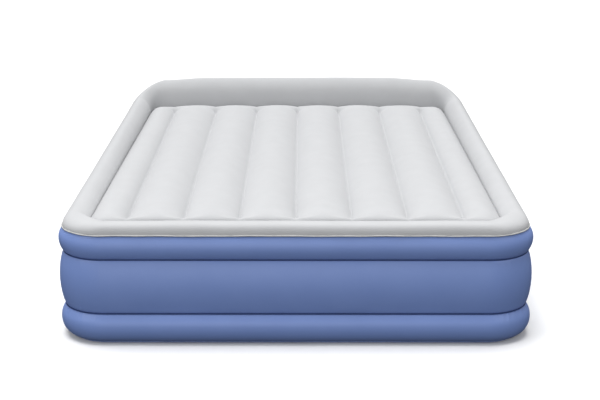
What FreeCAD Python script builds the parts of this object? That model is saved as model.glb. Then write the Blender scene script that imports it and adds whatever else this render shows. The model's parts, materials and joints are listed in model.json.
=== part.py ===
import FreeCAD, Part
import math
import os

# Queen-size air mattress with eight lengthwise channels, a perimeter bolster that rises into a
# head ledge, three stacked side tubes and a pump set into the head end.
# Millimetres. The origin is on the floor under the middle of the bed, +Y towards the head, +Z up.

# Bed, at the widest point of the side tubes
bedWidth = 1520.0
bedLength = 2030.0
cornerRadius = 157.0
sheet = 3.0                  # every film is drawn this thick
weldGap = 0.02               # left between a curved wall and the flat sheet that it is welded to

# Weld lines of the side walls, as heights above the floor
lowerGrooveZ = 104.0
upperGrooveZ = 281.0
rimSeamZ = 361.0
footCrestZ = 392.0           # top of the bolster at the foot
sideRise = 53.0              # how much the crest climbs along the bed
headRise = 100.0             # the extra climb onto the head ledge
headRiseRun = 149.0          # length over which the ledge climbs
headRiseEnd = 9.0            # where the climb would end, from the head end
bolsterBulge = 14.0          # how far the bolster swells past its welds where it stands tallest

# Insets from the widest outline
baseInset = 46.0
grooveInset = 17.0
rimInset = 16.0
crestInset = 57.0
headCornerPull = 14.0        # the crest turns this much further in at the head corners
footCornerPull = 20.0
bolsterWeldInset = 103.0
tieOverhang = 3.0            # the tie sheet's weld edge shows this far outside the groove
tubeSquareness = 0.8         # under 1 a side tube's bulge is squarer than a sine
lowerRoundShare = 0.55       # how much of the lower tube's height its rounded foot takes
shallowestEnd = 0.4          # least steepness that a wall's end is thickened by

# Sleeping surface
channelCount = 8
channelPitch = 183.0
sleepWeldZ = 374.0           # top of the sheet along its weld lines
channelRise = 36.0
domeRun = 75.0               # length of a channel's rounded end
weldFlange = 5.0
flatRise = 0.2               # what is left of a channel's rise where its end meets the weld
weldLip = 1.5                # from the bolster's inner weld to where a channel starts to rise
pipingSize = 4.0

# Inner webs
webEndGap = 45.0
webFlange = 24.0
lowerWebCount = 3
lowerWebPitch = 366.0
lowerWebGap = 135.5          # from the lower webs' ends to the back of the pump
airHoleRadius = 35.0
airHoleRows = (-600.0, -200.0, 200.0, 600.0)

# Pump, its face looking out of the head end
pumpX = 430.0
pumpWidth = 176.0            # face plate
pumpHeight = 126.0
pumpCorner = 14.0
pumpRecess = 14.0            # how far the face plate sits behind the bed's end
collarWall = 7.0
collarCorner = 21.0
collarStep = 3.5
collarProud = 0.5            # how far the collar's rim stays behind the bed's end
plateThickness = 4.0
gasketThickness = 1.5
housingInset = 4.5           # housing wall from the face plate's edge
housingDepth = 100.0
wall = 2.5
runningFit = 0.05            # radial clearance of every turning or sliding fit
panelGap = 0.5               # gap round a panel or button that moves
screwEdge = 9.0              # screw centre from the face plate's edges
bossDepth = 22.0
screwHoleDepth = 18.0
screwDepth = 14.0

grilleX = -50.0
grilleRadius = 28.0
slotPitch = 7.0
slotHeight = 3.6
slotsEachSide = 3            # of the middle slot
upperRowZ = 22.0             # grille, dial and rocker, above the pump's middle
casingRadius = 30.0
casingDepth = 24.0
casingGap = 5.0              # from the fan casing's rim to the face plate
coverThickness = 2.0
inletRadius = 13.0
motorRadius = 17.0
motorLength = 42.0
motorScrewX = 10.0           # each side of the motor's middle
motorScrewDepth = 6.0
cushionWall = 2.0
cushionGrip = 12.0           # how much of the motor the cushion holds
shaftRadius = 1.5
shaftSeat = 11.0             # how deep the shaft sits in the motor
seatRelief = 1.0             # free depth past a shaft or screw end
impellerRadius = 24.0
hubRadius = 5.0
bladeCount = 9
bladeLength = 16.0
bladeThickness = 1.2
bladeMiddle = 14.0           # from the wheel's middle
bladeTurn = 35.0             # degrees off the radius
discThickness = 2.0
wheelGap = 3.0               # behind and in front of the wheel
ductHeight = 14.0
ductDepth = 12.0
ductWall = 2.0
ductInCasing = 6.0           # how far the duct reaches into the casing's outline
ductInValve = 4.0

dialX = 14.0
dialRadius = 19.0
dialHeight = 9.0
dialDisc = 3.0
gripWidth = 9.0
dialShaftRadius = 4.0
valveGap = 4.0               # from the valve body's rim to the face plate
drumGap = 1.0
valveRadius = 20.0           # bore of the valve body
drumLength = 42.0
portRadius = 15.0
seatFlange = 7.0
seatDepth = 6.0
spiderWidth = 3.0
spiderInset = 1.0            # from the seat's back
guideWall = 2.5
discOverlap = 3.0            # the disc past its port
valveDiscThickness = 2.0
stemRadius = 2.0
stemReach = 16.0             # how far the stem stands into the housing
clipThickness = 1.5
clipFlange = 3.5
clipPlace = 3.0              # from the stem's end
springCoils = 5
springWire = 0.5             # radius
springGap = 1.6              # from the stem to the wire's middle

rockerX = 58.0
rockerWidth = 20.0
rockerHeight = 29.0
rockerTilt = 8.0             # degrees each side of level
rockerCorner = 0.5
rockerDish = 60.0            # radius of the finger hollow
rockerHollow = 1.2           # its depth
rockerProud = 1.5
rockerEndGap = 3.0           # both ends together
rockerUnder = 2.5            # rocker below its pin
rockerPinRadius = 1.0
rockerPinDepth = 7.0
switchCavity = 13.0
switchDepth = 27.0
switchWall = 2.0

bayWidth = 142.0
bayHeight = 36.0
bayDepth = 38.0
bayZ = -35.0                 # middle of the cord bay, from the pump's middle
hingeRadius = 0.8
hingeLift = 1.75             # from the door's lower edge
hingeInset = 1.25            # behind the face
pinOverhang = 6.0            # past each end of the door
doorThickness = 2.5
doorCorner = 1.0
notchRadius = 9.0            # finger notch
notchDepth = 1.2
glandRadius = 7.0
glandFlange = 2.0
glandBore = 3.2
glandInset = 14.0            # from the bay's end

screwRadius = 1.5
screwHeadRadius = 3.0
screwHeadHeight = 2.0
motorHeadHeight = 1.5
driveWidth = 0.8             # cross recess
driveLength = 4.5
driveDepth = 1.0
bossRadius = 4.0

# Worked out from the above
halfWidth = bedWidth / 2
halfLength = bedLength / 2
sleepHalfWidth = halfWidth - bolsterWeldInset - weldLip
sleepHalfLength = halfLength - bolsterWeldInset - weldLip
sleepCorner = cornerRadius - bolsterWeldInset - weldLip
pumpZ = (lowerGrooveZ + upperGrooveZ) / 2
faceY = halfLength - pumpRecess
plateBack = faceY - plateThickness
housingFront = plateBack - gasketThickness
housingBack = housingFront - housingDepth
housingWidth = pumpWidth - 2 * housingInset
housingHeight = pumpHeight - 2 * housingInset
casingFront = plateBack - casingGap
casingBack = casingFront - casingDepth
rowZ = pumpZ + upperRowZ

os.makedirs("parts", exist_ok=True)


def vec(x, y, z):
    return FreeCAD.Vector(x, y, z)


def save(name, shape):
    shape.exportStep("parts/" + name + ".step")


# ---- outlines and walls round the bed ----

def roundedPath(width, length, radius, z):
    """Closed rounded rectangle, starting on its +X side at the foot end."""
    a = width / 2
    b = length / 2
    diagonal = radius * math.sqrt(0.5)
    edges = []
    for turn, (x, y) in enumerate(((a, b), (b, a), (a, b), (b, a))):
        spin = FreeCAD.Rotation(vec(0, 0, 1), 90 * turn)
        start = vec(x, radius - y, 0)
        end = vec(x, y - radius, 0)
        onArc = vec(x - radius + diagonal, y - radius + diagonal, 0)
        after = vec(x - radius, y, 0)
        points = [spin.multVec(p) + vec(0, 0, z) for p in (start, end, onArc, after)]
        edges.append(Part.makeLine(points[0], points[1]))
        edges.append(Part.Arc(points[1], points[2], points[3]).toShape())
    return Part.Wire(edges)


def bedOutline(inset, z):
    return roundedPath(bedWidth - 2 * inset, bedLength - 2 * inset, cornerRadius - inset, z)


def slab(outline, thickness):
    return Part.Face(outline).extrude(vec(0, 0, thickness))


def offsetInward(points):
    """The same wall line one sheet further in; the two ends keep their heights."""
    inner = []
    last = len(points) - 1
    for i, (inset, z) in enumerate(points):
        before = points[max(i - 1, 0)]
        after = points[min(i + 1, last)]
        along = (after[0] - before[0], after[1] - before[1])
        length = math.hypot(along[0], along[1])
        if i in (0, last):
            steepness = max(abs(along[1]) / length, shallowestEnd)
            inner.append((inset + math.copysign(sheet / steepness, along[1]), z))
        else:
            inner.append((inset + sheet * along[1] / length, z - sheet * along[0] / length))
    return inner


def wallFace(points, place):
    """Closed section of a wall, between a line of (inset, z) points and the same line offset inward."""
    outer = [place(p) for p in points]
    inner = [place(p) for p in offsetInward(points)]
    curves = []
    for line in (outer, inner):
        curve = Part.BSplineCurve()
        curve.interpolate(line)
        curves.append(curve.toShape())
    lower = Part.makeLine(outer[0], inner[0])
    upper = Part.makeLine(outer[-1], inner[-1])
    return Part.Wire([curves[0], upper, curves[1], lower])


def levelWall(points):
    """A wall with the same section all the way round the bed."""
    spine = bedOutline(0.0, 0.0)
    section = wallFace(points, lambda p: vec(halfWidth - p[0], cornerRadius - halfLength, p[1]))
    return spine.makePipe(Part.Face(section))


def tubeLine(lowZ, highZ, lowInset, highInset, steps=6):
    """A side tube's outer line, bulging from weld to weld out to the bed's full size."""
    points = []
    for i in range(steps + 1):
        t = i / steps
        inset = (lowInset + (highInset - lowInset) * t) * (1 - math.sin(math.pi * t) ** tubeSquareness)
        points.append((inset, lowZ + (highZ - lowZ) * t))
    return points


def makeSideWalls():
    half = sheet / 2
    steps = 5
    top = lowerGrooveZ - half
    roundZ = lowerRoundShare * top
    lower = []
    for i in range(steps):
        turn = math.radians(90 - 90 * i / steps)
        rise = (roundZ - sheet - weldGap) * (1 - math.sin(turn))
        lower.append((baseInset * (1 - math.cos(turn)), sheet + weldGap + rise))
    for i in range(steps + 1):
        t = i / steps
        lower.append((grooveInset * (1 - math.cos(math.pi * t / 2)), roundZ + (top - roundZ) * t))
    save("lower_side_tube_wall", levelWall(lower))
    middle = levelWall(tubeLine(lowerGrooveZ + half, upperGrooveZ - half, grooveInset, grooveInset))
    save("middle_side_tube_wall", middle.cut(collarBlank(halfLength + sheet)))
    rim = rimSeamZ - pipingSize / 2
    save("upper_side_tube_wall", levelWall(tubeLine(upperGrooveZ + half, rim, grooveInset, rimInset)))


def makeBaseSheet():
    save("base_sheet", slab(bedOutline(baseInset - weldFlange, 0.0), sheet))


def makeTieSheets():
    """Flat sheets across the bed at the two grooves; air passes through their holes."""
    columns = [(i + 0.5) * channelPitch for i in range(-channelCount // 2, channelCount // 2)]
    for name, z in (("lower_tie_sheet", lowerGrooveZ), ("upper_tie_sheet", upperGrooveZ)):
        tie = slab(bedOutline(grooveInset - tieOverhang, z - sheet / 2), sheet)
        for x in columns:
            for y in airHoleRows:
                tie = tie.cut(Part.makeCylinder(airHoleRadius, sheet, vec(x, y, z - sheet / 2)))
        save(name, tie)


# ---- grey bolster ----

def crestZ(y):
    """Height of the bolster's crest beside a point along the bed."""
    along = (y + halfLength) / bedLength
    t = (y - (halfLength - headRiseEnd - headRiseRun)) / headRiseRun
    t = min(max(t, 0.0), 1.0)
    return footCrestZ + sideRise * along + headRise * t * t * (3 - 2 * t)


def bolsterLine(crest, inset):
    """Outer weld, over the crest and down to the inner weld; a tall bolster bulges more."""
    rim = rimSeamZ + pipingSize / 2
    weldZ = sleepWeldZ + flatRise + weldGap
    bulge = bolsterBulge * (crest - footCrestZ) / (sideRise + headRise)
    steps = 4
    points = []
    for i in range(steps + 1):
        u = i / steps
        reach = inset - rimInset + bulge * math.sin(math.pi * u) ** 2
        points.append((inset - reach * math.cos(math.pi * u / 2),
                       rim + (crest - rim) * math.sin(math.pi * u / 2)))
    for i in range(1, steps + 1):
        u = 1 - i / steps
        reach = bolsterWeldInset - inset + bulge * math.sin(math.pi * u) ** 2
        points.append((inset + reach * math.cos(math.pi * u / 2),
                       weldZ + (crest - weldZ) * math.sin(math.pi * u / 2)))
    return points


def stations():
    """Places round the bed as (corner centre, outward direction), evenly turned at each corner."""
    a = halfWidth - cornerRadius
    b = halfLength - cornerRadius
    cornerSteps = 12
    sideSteps = 12
    found = []
    for k, (cx, cy) in enumerate(((a, b), (-a, b), (-a, -b), (a, -b))):
        for i in range(cornerSteps + 1):
            angle = math.radians(90 * k + 90 * i / cornerSteps)
            found.append((cx, cy, math.cos(angle), math.sin(angle)))
        if k % 2:
            side = 1 if k == 3 else -1
            for i in range(1, sideSteps):
                y = side * (-b + 2 * b * i / sideSteps)
                found.append((side * a, y, side, 0.0))
    return found


def makeBolster():
    wires = []
    for cx, cy, dx, dy in stations():
        pull = headCornerPull if dy > 0 else footCornerPull
        inset = crestInset + pull * abs(2 * dx * dy)
        crest = crestZ(cy + (cornerRadius - inset) * dy)

        def place(point):
            reach = cornerRadius - point[0]
            return vec(cx + reach * dx, cy + reach * dy, point[1])
        wires.append(wallFace(bolsterLine(crest, inset), place))
    save("perimeter_bolster", Part.makeLoft(wires, True, True, True))
    low = rimSeamZ - pipingSize / 2
    outer = slab(bedOutline(rimInset - pipingSize / 2, low), pipingSize)
    save("rim_weld_piping", outer.cut(slab(bedOutline(rimInset + pipingSize, low), pipingSize)))
    low = upperGrooveZ + sheet / 2
    tall = sleepWeldZ - sheet - low
    web = slab(bedOutline(bolsterWeldInset - sheet, low), tall)
    web = web.cut(slab(bedOutline(bolsterWeldInset, low), tall))
    for x in (-2 * channelPitch, 0.0, 2 * channelPitch):
        start = vec(x, -bedLength, low + tall / 2)
        web = web.cut(Part.makeCylinder(airHoleRadius / 2, 2 * bedLength, start, vec(0, 1, 0)))
    save("bolster_web", web)


# ---- sleeping surface and inner webs ----

def seamPlaces():
    return [(i - channelCount / 2) * channelPitch for i in range(1, channelCount)]


def sleepSection(y):
    """Closed section across the sleeping sheet: one arc to each channel, a flat flange at each side."""
    past = max(abs(y) - (sleepHalfLength - sleepCorner), 0.0)
    past = min(past, sleepCorner)
    half = sleepHalfWidth - sleepCorner + math.sqrt(sleepCorner ** 2 - past ** 2)
    fromEnd = max(sleepHalfLength - abs(y), 0.0)
    swell = math.sqrt(1 - (1 - min(fromEnd / domeRun, 1.0)) ** 2)
    places = [-half] + seamPlaces() + [half]
    upper = []
    lower = []
    for left, right in zip(places, places[1:]):
        rise = max(channelRise * swell * min((right - left) / channelPitch, 1.0), flatRise)
        for z, edges in ((sleepWeldZ, upper), (sleepWeldZ - sheet, lower)):
            crest = vec((left + right) / 2, y, z + rise)
            edges.append(Part.Arc(vec(left, y, z), crest, vec(right, y, z)).toShape())
    outside = half + weldLip + weldFlange
    low = sleepWeldZ - sheet
    leftTop = Part.makeLine(vec(-outside, y, sleepWeldZ), vec(-half, y, sleepWeldZ))
    rightTop = Part.makeLine(vec(half, y, sleepWeldZ), vec(outside, y, sleepWeldZ))
    rightEnd = Part.makeLine(vec(outside, y, sleepWeldZ), vec(outside, y, low))
    rightLow = Part.makeLine(vec(half, y, low), vec(outside, y, low))
    leftLow = Part.makeLine(vec(-outside, y, low), vec(-half, y, low))
    leftEnd = Part.makeLine(vec(-outside, y, low), vec(-outside, y, sleepWeldZ))
    return Part.Wire([leftTop] + upper + [rightTop, rightEnd, rightLow] + lower[::-1] + [leftLow, leftEnd])


def makeSleepingSheet():
    fractions = (0.0, 0.05, 0.2, 0.45, 0.72, 1.0)
    run = max(domeRun, sleepCorner)
    ends = [sleepHalfLength - run * f for f in fractions]
    rows = [-y for y in ends] + ends[::-1]
    edge = sleepHalfLength + weldLip + weldFlange
    rows = [-edge] + rows + [edge]
    save("sleeping_sheet", Part.makeLoft([sleepSection(y) for y in rows], True, True, False))


def web(x, length, lowZ, highZ):
    """An I-shaped web: a flat strip with a weld flange along its top and bottom."""
    strip = Part.makeBox(sheet, length, highZ - lowZ, vec(x - sheet / 2, -length / 2, lowZ))
    for z in (lowZ, highZ - sheet):
        strip = strip.fuse(Part.makeBox(webFlange, length, sheet, vec(x - webFlange / 2, -length / 2, z)))
    return strip.removeSplitter()


def makeWebs():
    half = sheet / 2
    lowerWebLength = 2 * (housingBack - lowerWebGap)
    for i, x in enumerate(seamPlaces()):
        length = 2 * (sleepHalfLength - webEndGap)
        save("channel_web_%d" % (i + 1), web(x, length, upperGrooveZ + half, sleepWeldZ - sheet))
    for i in range(lowerWebCount):
        x = (i - (lowerWebCount - 1) / 2) * lowerWebPitch
        save("middle_web_%d" % (i + 1), web(x, lowerWebLength, lowerGrooveZ + half, upperGrooveZ - half))
        save("base_web_%d" % (i + 1), web(x, lowerWebLength, sheet, lowerGrooveZ - half))


# ---- pump: pieces are placed by how far they lie from the pump's middle ----

def plate(width, height, corner, backY, frontY, x=0.0, z=0.0):
    """A rounded rectangle standing in the pump's face, between two depths."""
    face = Part.Face(roundedPath(width, height, corner, 0.0))
    solid = face.extrude(vec(0, 0, frontY - backY))
    solid.rotate(vec(0, 0, 0), vec(1, 0, 0), 90)
    solid.translate(vec(pumpX + x, frontY, pumpZ + z))
    return solid


def rod(radius, backY, frontY, x, z=upperRowZ):
    """A round bar along Y."""
    return Part.makeCylinder(radius, frontY - backY, vec(pumpX + x, backY, pumpZ + z), vec(0, 1, 0))


def block(width, height, backY, frontY, x, z):
    corner = vec(pumpX + x - width / 2, backY, pumpZ + z - height / 2)
    return Part.makeBox(width, frontY - backY, height, corner)


def crossRod(radius, width, y, x, z):
    """A round bar along X."""
    return Part.makeCylinder(radius, width, vec(pumpX + x - width / 2, y, pumpZ + z), vec(1, 0, 0))


def collarBlank(frontY):
    """The collar's outer outline as a block; the side wall is cut away by the same block."""
    width = pumpWidth + 2 * collarWall
    height = pumpHeight + 2 * collarWall
    return plate(width, height, collarCorner, housingFront - collarStep, frontY)


def screwPlaces():
    x = pumpWidth / 2 - screwEdge
    z = pumpHeight / 2 - screwEdge
    return [(x, z), (-x, z), (-x, -z), (x, -z)]


def makeCollar():
    collar = collarBlank(halfLength - collarProud)
    collar = collar.cut(plate(pumpWidth, pumpHeight, pumpCorner, housingFront, halfLength))
    through = plate(housingWidth, housingHeight, pumpCorner - housingInset,
                    housingFront - collarStep, halfLength)
    save("pump_collar", collar.cut(through))


def makeHousing():
    corner = pumpCorner - housingInset
    housing = plate(housingWidth, housingHeight, corner, housingBack, housingFront)
    outside = housing.copy()
    hollow = plate(housingWidth - 2 * wall, housingHeight - 2 * wall, corner - wall,
                   housingBack + wall, housingFront)
    housing = housing.cut(hollow)
    for x, z in screwPlaces():
        boss = rod(bossRadius, housingFront - bossDepth, housingFront, x, z).common(outside)
        housing = housing.fuse(boss)
        hole = rod(screwRadius + runningFit, housingFront - screwHoleDepth, housingFront, x, z)
        housing = housing.cut(hole)
    housing = housing.cut(rod(portRadius, housingBack, housingBack + wall, dialX))
    save("pump_housing", housing)
    ring = plate(pumpWidth, pumpHeight, pumpCorner, housingFront, plateBack)
    ring = ring.cut(plate(housingWidth - 2 * wall, housingHeight - 2 * wall, corner - wall,
                          housingFront, plateBack))
    for x, z in screwPlaces():
        ring = ring.cut(rod(screwRadius + runningFit, housingFront, plateBack, x, z))
    save("face_plate_gasket", ring)


def grilleSlots():
    """Parallel slots cut to a circle, for the air that the pump draws in."""
    rim = rod(grilleRadius, plateBack, faceY, grilleX)
    slots = None
    for i in range(-slotsEachSide, slotsEachSide + 1):
        bar = block(2 * grilleRadius, slotHeight, plateBack, faceY, grilleX, upperRowZ + i * slotPitch)
        bar = bar.common(rim)
        slots = bar if slots is None else slots.fuse(bar)
    return slots


def hingeZ():
    return bayZ - bayHeight / 2 + hingeLift


def hingeY():
    return faceY - hingeInset


def makeFacePlate():
    face = plate(pumpWidth, pumpHeight, pumpCorner, plateBack, faceY)
    face = face.cut(grilleSlots())
    face = face.cut(rod(dialShaftRadius + runningFit, plateBack, faceY, dialX))
    opening = plate(rockerWidth + 2 * panelGap, rockerHeight + rockerEndGap, rockerCorner, plateBack, faceY,
                    rockerX, upperRowZ)
    face = face.cut(opening)
    face = face.cut(plate(bayWidth + 2 * panelGap, bayHeight + 2 * panelGap, doorCorner, plateBack,
                          faceY, 0.0, bayZ))
    face = face.cut(crossRod(hingeRadius, bayWidth + 2 * pinOverhang, hingeY(), 0.0, hingeZ()))
    for x, z in screwPlaces():
        face = face.cut(rod(screwRadius + runningFit, plateBack, faceY, x, z))
    save("pump_face_plate", face)


def makeScrews():
    screws = []
    top = faceY + screwHeadHeight
    for x, z in screwPlaces():
        screw = rod(screwRadius, housingFront - screwDepth, faceY, x, z)
        head = rod(screwHeadRadius, faceY, top, x, z)
        head = head.cut(block(driveWidth, driveLength, top - driveDepth, top, x, z))
        head = head.cut(block(driveLength, driveWidth, top - driveDepth, top, x, z))
        screws.append(screw.fuse(head).removeSplitter())
    save("face_plate_screws", Part.makeCompound(screws))


def makeCordBay():
    """A tray behind the face plate that the mains lead is stowed in, its gland and its door."""
    backY = plateBack - bayDepth
    tray = block(bayWidth + 2 * wall, bayHeight + 2 * wall, backY, plateBack, 0.0, bayZ)
    tray = tray.cut(block(bayWidth, bayHeight, backY + wall, plateBack, 0.0, bayZ))
    innerY = backY + wall
    glandX = -bayWidth / 2 + glandInset
    neck = rod(glandRadius - glandFlange, backY, innerY, glandX, bayZ)
    save("cord_bay", tray.cut(neck))
    gland = neck.fuse(rod(glandRadius, innerY, innerY + glandFlange, glandX, bayZ))
    gland = gland.fuse(rod(glandRadius, backY - glandFlange, backY, glandX, bayZ))
    gland = gland.cut(rod(glandBore, backY - glandFlange, innerY + glandFlange, glandX, bayZ))
    save("cord_gland", gland.removeSplitter())
    door = plate(bayWidth, bayHeight, doorCorner, faceY - doorThickness, faceY, 0.0, bayZ)
    door = door.cut(crossRod(hingeRadius + runningFit, bayWidth, hingeY(), 0.0, hingeZ()))
    notch = rod(notchRadius, faceY - notchDepth, faceY, 0.0, bayZ + bayHeight / 2)
    save("cord_door", door.cut(notch))
    save("door_hinge_pin", crossRod(hingeRadius, bayWidth + 2 * pinOverhang, hingeY(), 0.0, hingeZ()))


def makeFan():
    """Fan casing, its cover, the motor behind it and the wheel on the motor's shaft."""
    floorY = casingBack + wall
    screwX = (grilleX - motorScrewX, grilleX + motorScrewX)
    casing = rod(casingRadius, casingBack, casingFront, grilleX)
    casing = casing.cut(rod(casingRadius - wall, floorY, casingFront, grilleX))
    casing = casing.cut(rod(shaftRadius + seatRelief, casingBack, floorY, grilleX))
    casing = casing.cut(ductBlock(0.0))
    for x in screwX:
        casing = casing.cut(rod(screwRadius + runningFit, casingBack, floorY, x))
    save("fan_casing", casing)
    cover = rod(casingRadius, casingFront, casingFront + coverThickness, grilleX)
    save("fan_cover", cover.cut(rod(inletRadius, casingFront, casingFront + coverThickness, grilleX)))
    makeMotor(screwX)
    makeImpeller(floorY + wheelGap, casingFront - wheelGap - seatRelief)


def makeMotor(screwX):
    motorBack = casingBack - motorLength
    shaftBack = casingBack - shaftSeat
    screwBack = casingBack - motorScrewDepth
    can = rod(motorRadius, motorBack, casingBack, grilleX)
    can = can.cut(rod(shaftRadius + runningFit, shaftBack - seatRelief, casingBack, grilleX))
    for x in screwX:
        can = can.cut(rod(screwRadius + runningFit, screwBack - seatRelief, casingBack, x))
    save("motor", can)
    save("motor_shaft", rod(shaftRadius, shaftBack, casingFront - wheelGap - seatRelief, grilleX))
    screws = []
    headBack = casingBack + wall
    for x in screwX:
        shank = rod(screwRadius, screwBack, headBack, x)
        head = rod(screwHeadRadius, headBack, headBack + motorHeadHeight, x)
        screws.append(shank.fuse(head).removeSplitter())
    save("motor_screws", Part.makeCompound(screws))
    cup = rod(motorRadius + cushionWall, housingBack + wall, motorBack + cushionGrip, grilleX)
    save("motor_cushion", cup.cut(rod(motorRadius, motorBack, motorBack + cushionGrip, grilleX)))


def makeImpeller(backY, frontY):
    wheel = rod(impellerRadius, backY, backY + discThickness, grilleX)
    wheel = wheel.fuse(rod(hubRadius, backY, frontY, grilleX))
    bladeX = grilleX + bladeMiddle
    for i in range(bladeCount):
        blade = block(bladeLength, bladeThickness, backY, frontY, bladeX, upperRowZ)
        blade.rotate(vec(pumpX + bladeX, 0, rowZ), vec(0, 1, 0), bladeTurn)
        blade.rotate(vec(pumpX + grilleX, 0, rowZ), vec(0, 1, 0), 360 * i / bladeCount)
        wheel = wheel.fuse(blade)
    wheel = wheel.common(rod(impellerRadius, backY, frontY, grilleX))
    save("impeller", wheel.cut(rod(shaftRadius, backY, frontY, grilleX)).removeSplitter())


def ductBlock(shell):
    """The air duct's block from fan casing to valve body, this much thicker than its bore."""
    left = grilleX + casingRadius - ductInCasing
    right = dialX - valveRadius + ductInValve
    middle = casingBack + casingDepth / 2 + seatRelief
    half = ductDepth / 2 + shell
    return block(right - left, ductHeight + 2 * shell, middle - half, middle + half,
                 (left + right) / 2, upperRowZ)


def makeDuct():
    duct = ductBlock(ductWall).cut(ductBlock(0.0))
    duct = duct.cut(rod(casingRadius, casingBack, casingFront, grilleX))
    save("air_duct", duct.cut(rod(valveRadius + wall, housingBack, plateBack, dialX)))


def makeDialAndValve():
    """The dial turns a slotted drum in the valve body; a sprung disc closes the port behind it."""
    front = plateBack - valveGap
    body = rod(valveRadius + wall, housingBack + wall, front, dialX)
    body = body.cut(rod(valveRadius, housingBack + wall, front, dialX))
    save("valve_body", body.cut(ductBlock(0.0)))
    drumFront = front - drumGap
    drumBack = drumFront - drumLength
    drum = rod(valveRadius - runningFit, drumBack, drumFront, dialX)
    drum = drum.cut(rod(valveRadius - wall, drumBack, drumFront - wall, dialX))
    drum = drum.cut(ductBlock(0.0))
    save("valve_drum", drum)
    knobBack = faceY + panelGap
    knobFront = knobBack + dialHeight
    knob = rod(dialRadius, knobBack, knobBack + dialDisc, dialX)
    grip = block(gripWidth, 2 * dialRadius, knobBack + dialDisc, knobFront, dialX, upperRowZ)
    knob = knob.fuse(grip.common(rod(dialRadius, knobBack, knobFront, dialX)))
    knob = knob.fuse(rod(dialShaftRadius, drumFront, knobBack, dialX))
    save("control_dial", knob.removeSplitter())
    makeOutletValve()


def makeOutletValve():
    """Seat with its spider, the disc on its stem, and the clip and spring that pull it shut."""
    seatBack = housingBack - seatDepth
    seat = rod(portRadius + seatFlange, seatBack, housingBack, dialX)
    seat = seat.cut(rod(portRadius, seatBack, housingBack, dialX))
    spiderBack = seatBack + spiderInset
    spiderFront = spiderBack + spiderWidth
    spider = block(2 * portRadius, spiderWidth, spiderBack, spiderFront, dialX, upperRowZ)
    spider = spider.fuse(block(spiderWidth, 2 * portRadius, spiderBack, spiderFront, dialX, upperRowZ))
    spider = spider.fuse(rod(stemRadius + guideWall, spiderBack, spiderFront, dialX))
    seat = seat.fuse(spider).cut(rod(stemRadius + runningFit, seatBack, housingBack, dialX))
    save("valve_seat", seat.removeSplitter())
    stemFront = housingBack + stemReach
    disc = rod(portRadius + discOverlap, seatBack - valveDiscThickness, seatBack, dialX)
    disc = disc.fuse(rod(stemRadius, seatBack, stemFront, dialX))
    save("valve_disc", disc.removeSplitter())
    clipBack = stemFront - clipPlace
    clip = rod(stemRadius + clipFlange, clipBack, clipBack + clipThickness, dialX)
    save("stem_clip", clip.cut(rod(stemRadius, clipBack, clipBack + clipThickness, dialX)))
    save("valve_spring", spring(spiderFront, clipBack))


def spring(backY, frontY):
    """A light wire spring round the valve stem."""
    middle = stemRadius + springGap
    length = frontY - backY - 2 * springWire
    helix = Part.makeHelix(length / springCoils, length, middle)
    profile = Part.Wire(Part.makeCircle(springWire, vec(middle, 0, 0), vec(0, 1, 0)))
    coil = Part.Wire(helix.Edges).makePipeShell([profile], True, True)
    coil.rotate(vec(0, 0, 0), vec(1, 0, 0), -90)
    coil.translate(vec(pumpX + dialX, backY + springWire, rowZ))
    return coil


def makeSwitch():
    """Rocker switch: a body behind the face plate, a pin across it and the rocker, stored at off."""
    pivotY = faceY - rockerPinDepth
    tall = rockerHeight + rockerEndGap
    wide = rockerWidth + 2 * panelGap
    outside = wide + 2 * switchWall
    body = block(outside, tall + 2 * switchWall, plateBack - switchDepth, plateBack, rockerX, upperRowZ)
    body = body.cut(block(wide, tall, faceY - switchCavity, plateBack, rockerX, upperRowZ))
    pin = crossRod(rockerPinRadius, outside, pivotY, rockerX, upperRowZ)
    save("switch_body", body.cut(pin))
    save("rocker_pin", pin)
    front = faceY + rockerProud
    rocker = block(rockerWidth, rockerHeight, pivotY - rockerUnder, front, rockerX, upperRowZ)
    hollow = crossRod(rockerDish, rockerWidth, front + rockerDish - rockerHollow, rockerX, upperRowZ)
    rocker = rocker.cut(hollow)
    bore = crossRod(rockerPinRadius + runningFit, rockerWidth, pivotY, rockerX, upperRowZ)
    rocker = rocker.cut(bore)
    rocker.rotate(vec(0, pivotY, rowZ), vec(1, 0, 0), -rockerTilt)
    save("power_rocker", rocker)


makeBaseSheet()
makeSideWalls()
makeTieSheets()
makeBolster()
makeSleepingSheet()
makeWebs()
makeCollar()
makeHousing()
makeFacePlate()
makeScrews()
makeCordBay()
makeFan()
makeDuct()
makeDialAndValve()
makeSwitch()
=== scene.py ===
import bpy
import json
import math
import numpy as np
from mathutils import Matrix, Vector


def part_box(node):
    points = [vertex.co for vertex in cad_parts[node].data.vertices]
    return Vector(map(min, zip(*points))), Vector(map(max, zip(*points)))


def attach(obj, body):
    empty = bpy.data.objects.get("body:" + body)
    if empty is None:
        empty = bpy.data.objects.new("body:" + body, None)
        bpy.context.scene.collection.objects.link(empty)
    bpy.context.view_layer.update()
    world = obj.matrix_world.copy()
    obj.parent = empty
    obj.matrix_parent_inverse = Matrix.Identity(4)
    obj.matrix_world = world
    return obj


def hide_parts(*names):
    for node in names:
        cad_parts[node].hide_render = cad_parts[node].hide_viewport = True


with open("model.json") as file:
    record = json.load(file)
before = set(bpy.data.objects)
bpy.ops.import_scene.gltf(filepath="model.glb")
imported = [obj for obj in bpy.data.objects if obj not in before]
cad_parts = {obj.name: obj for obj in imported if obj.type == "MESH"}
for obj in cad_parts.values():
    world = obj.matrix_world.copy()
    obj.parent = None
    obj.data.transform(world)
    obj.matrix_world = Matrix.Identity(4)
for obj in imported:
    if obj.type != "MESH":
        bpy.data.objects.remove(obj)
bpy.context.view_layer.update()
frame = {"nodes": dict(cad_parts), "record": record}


def middle(node):
    low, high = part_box(node)
    return (low + high) / 2


def sizeOf(node):
    low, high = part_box(node)
    return high - low


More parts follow.
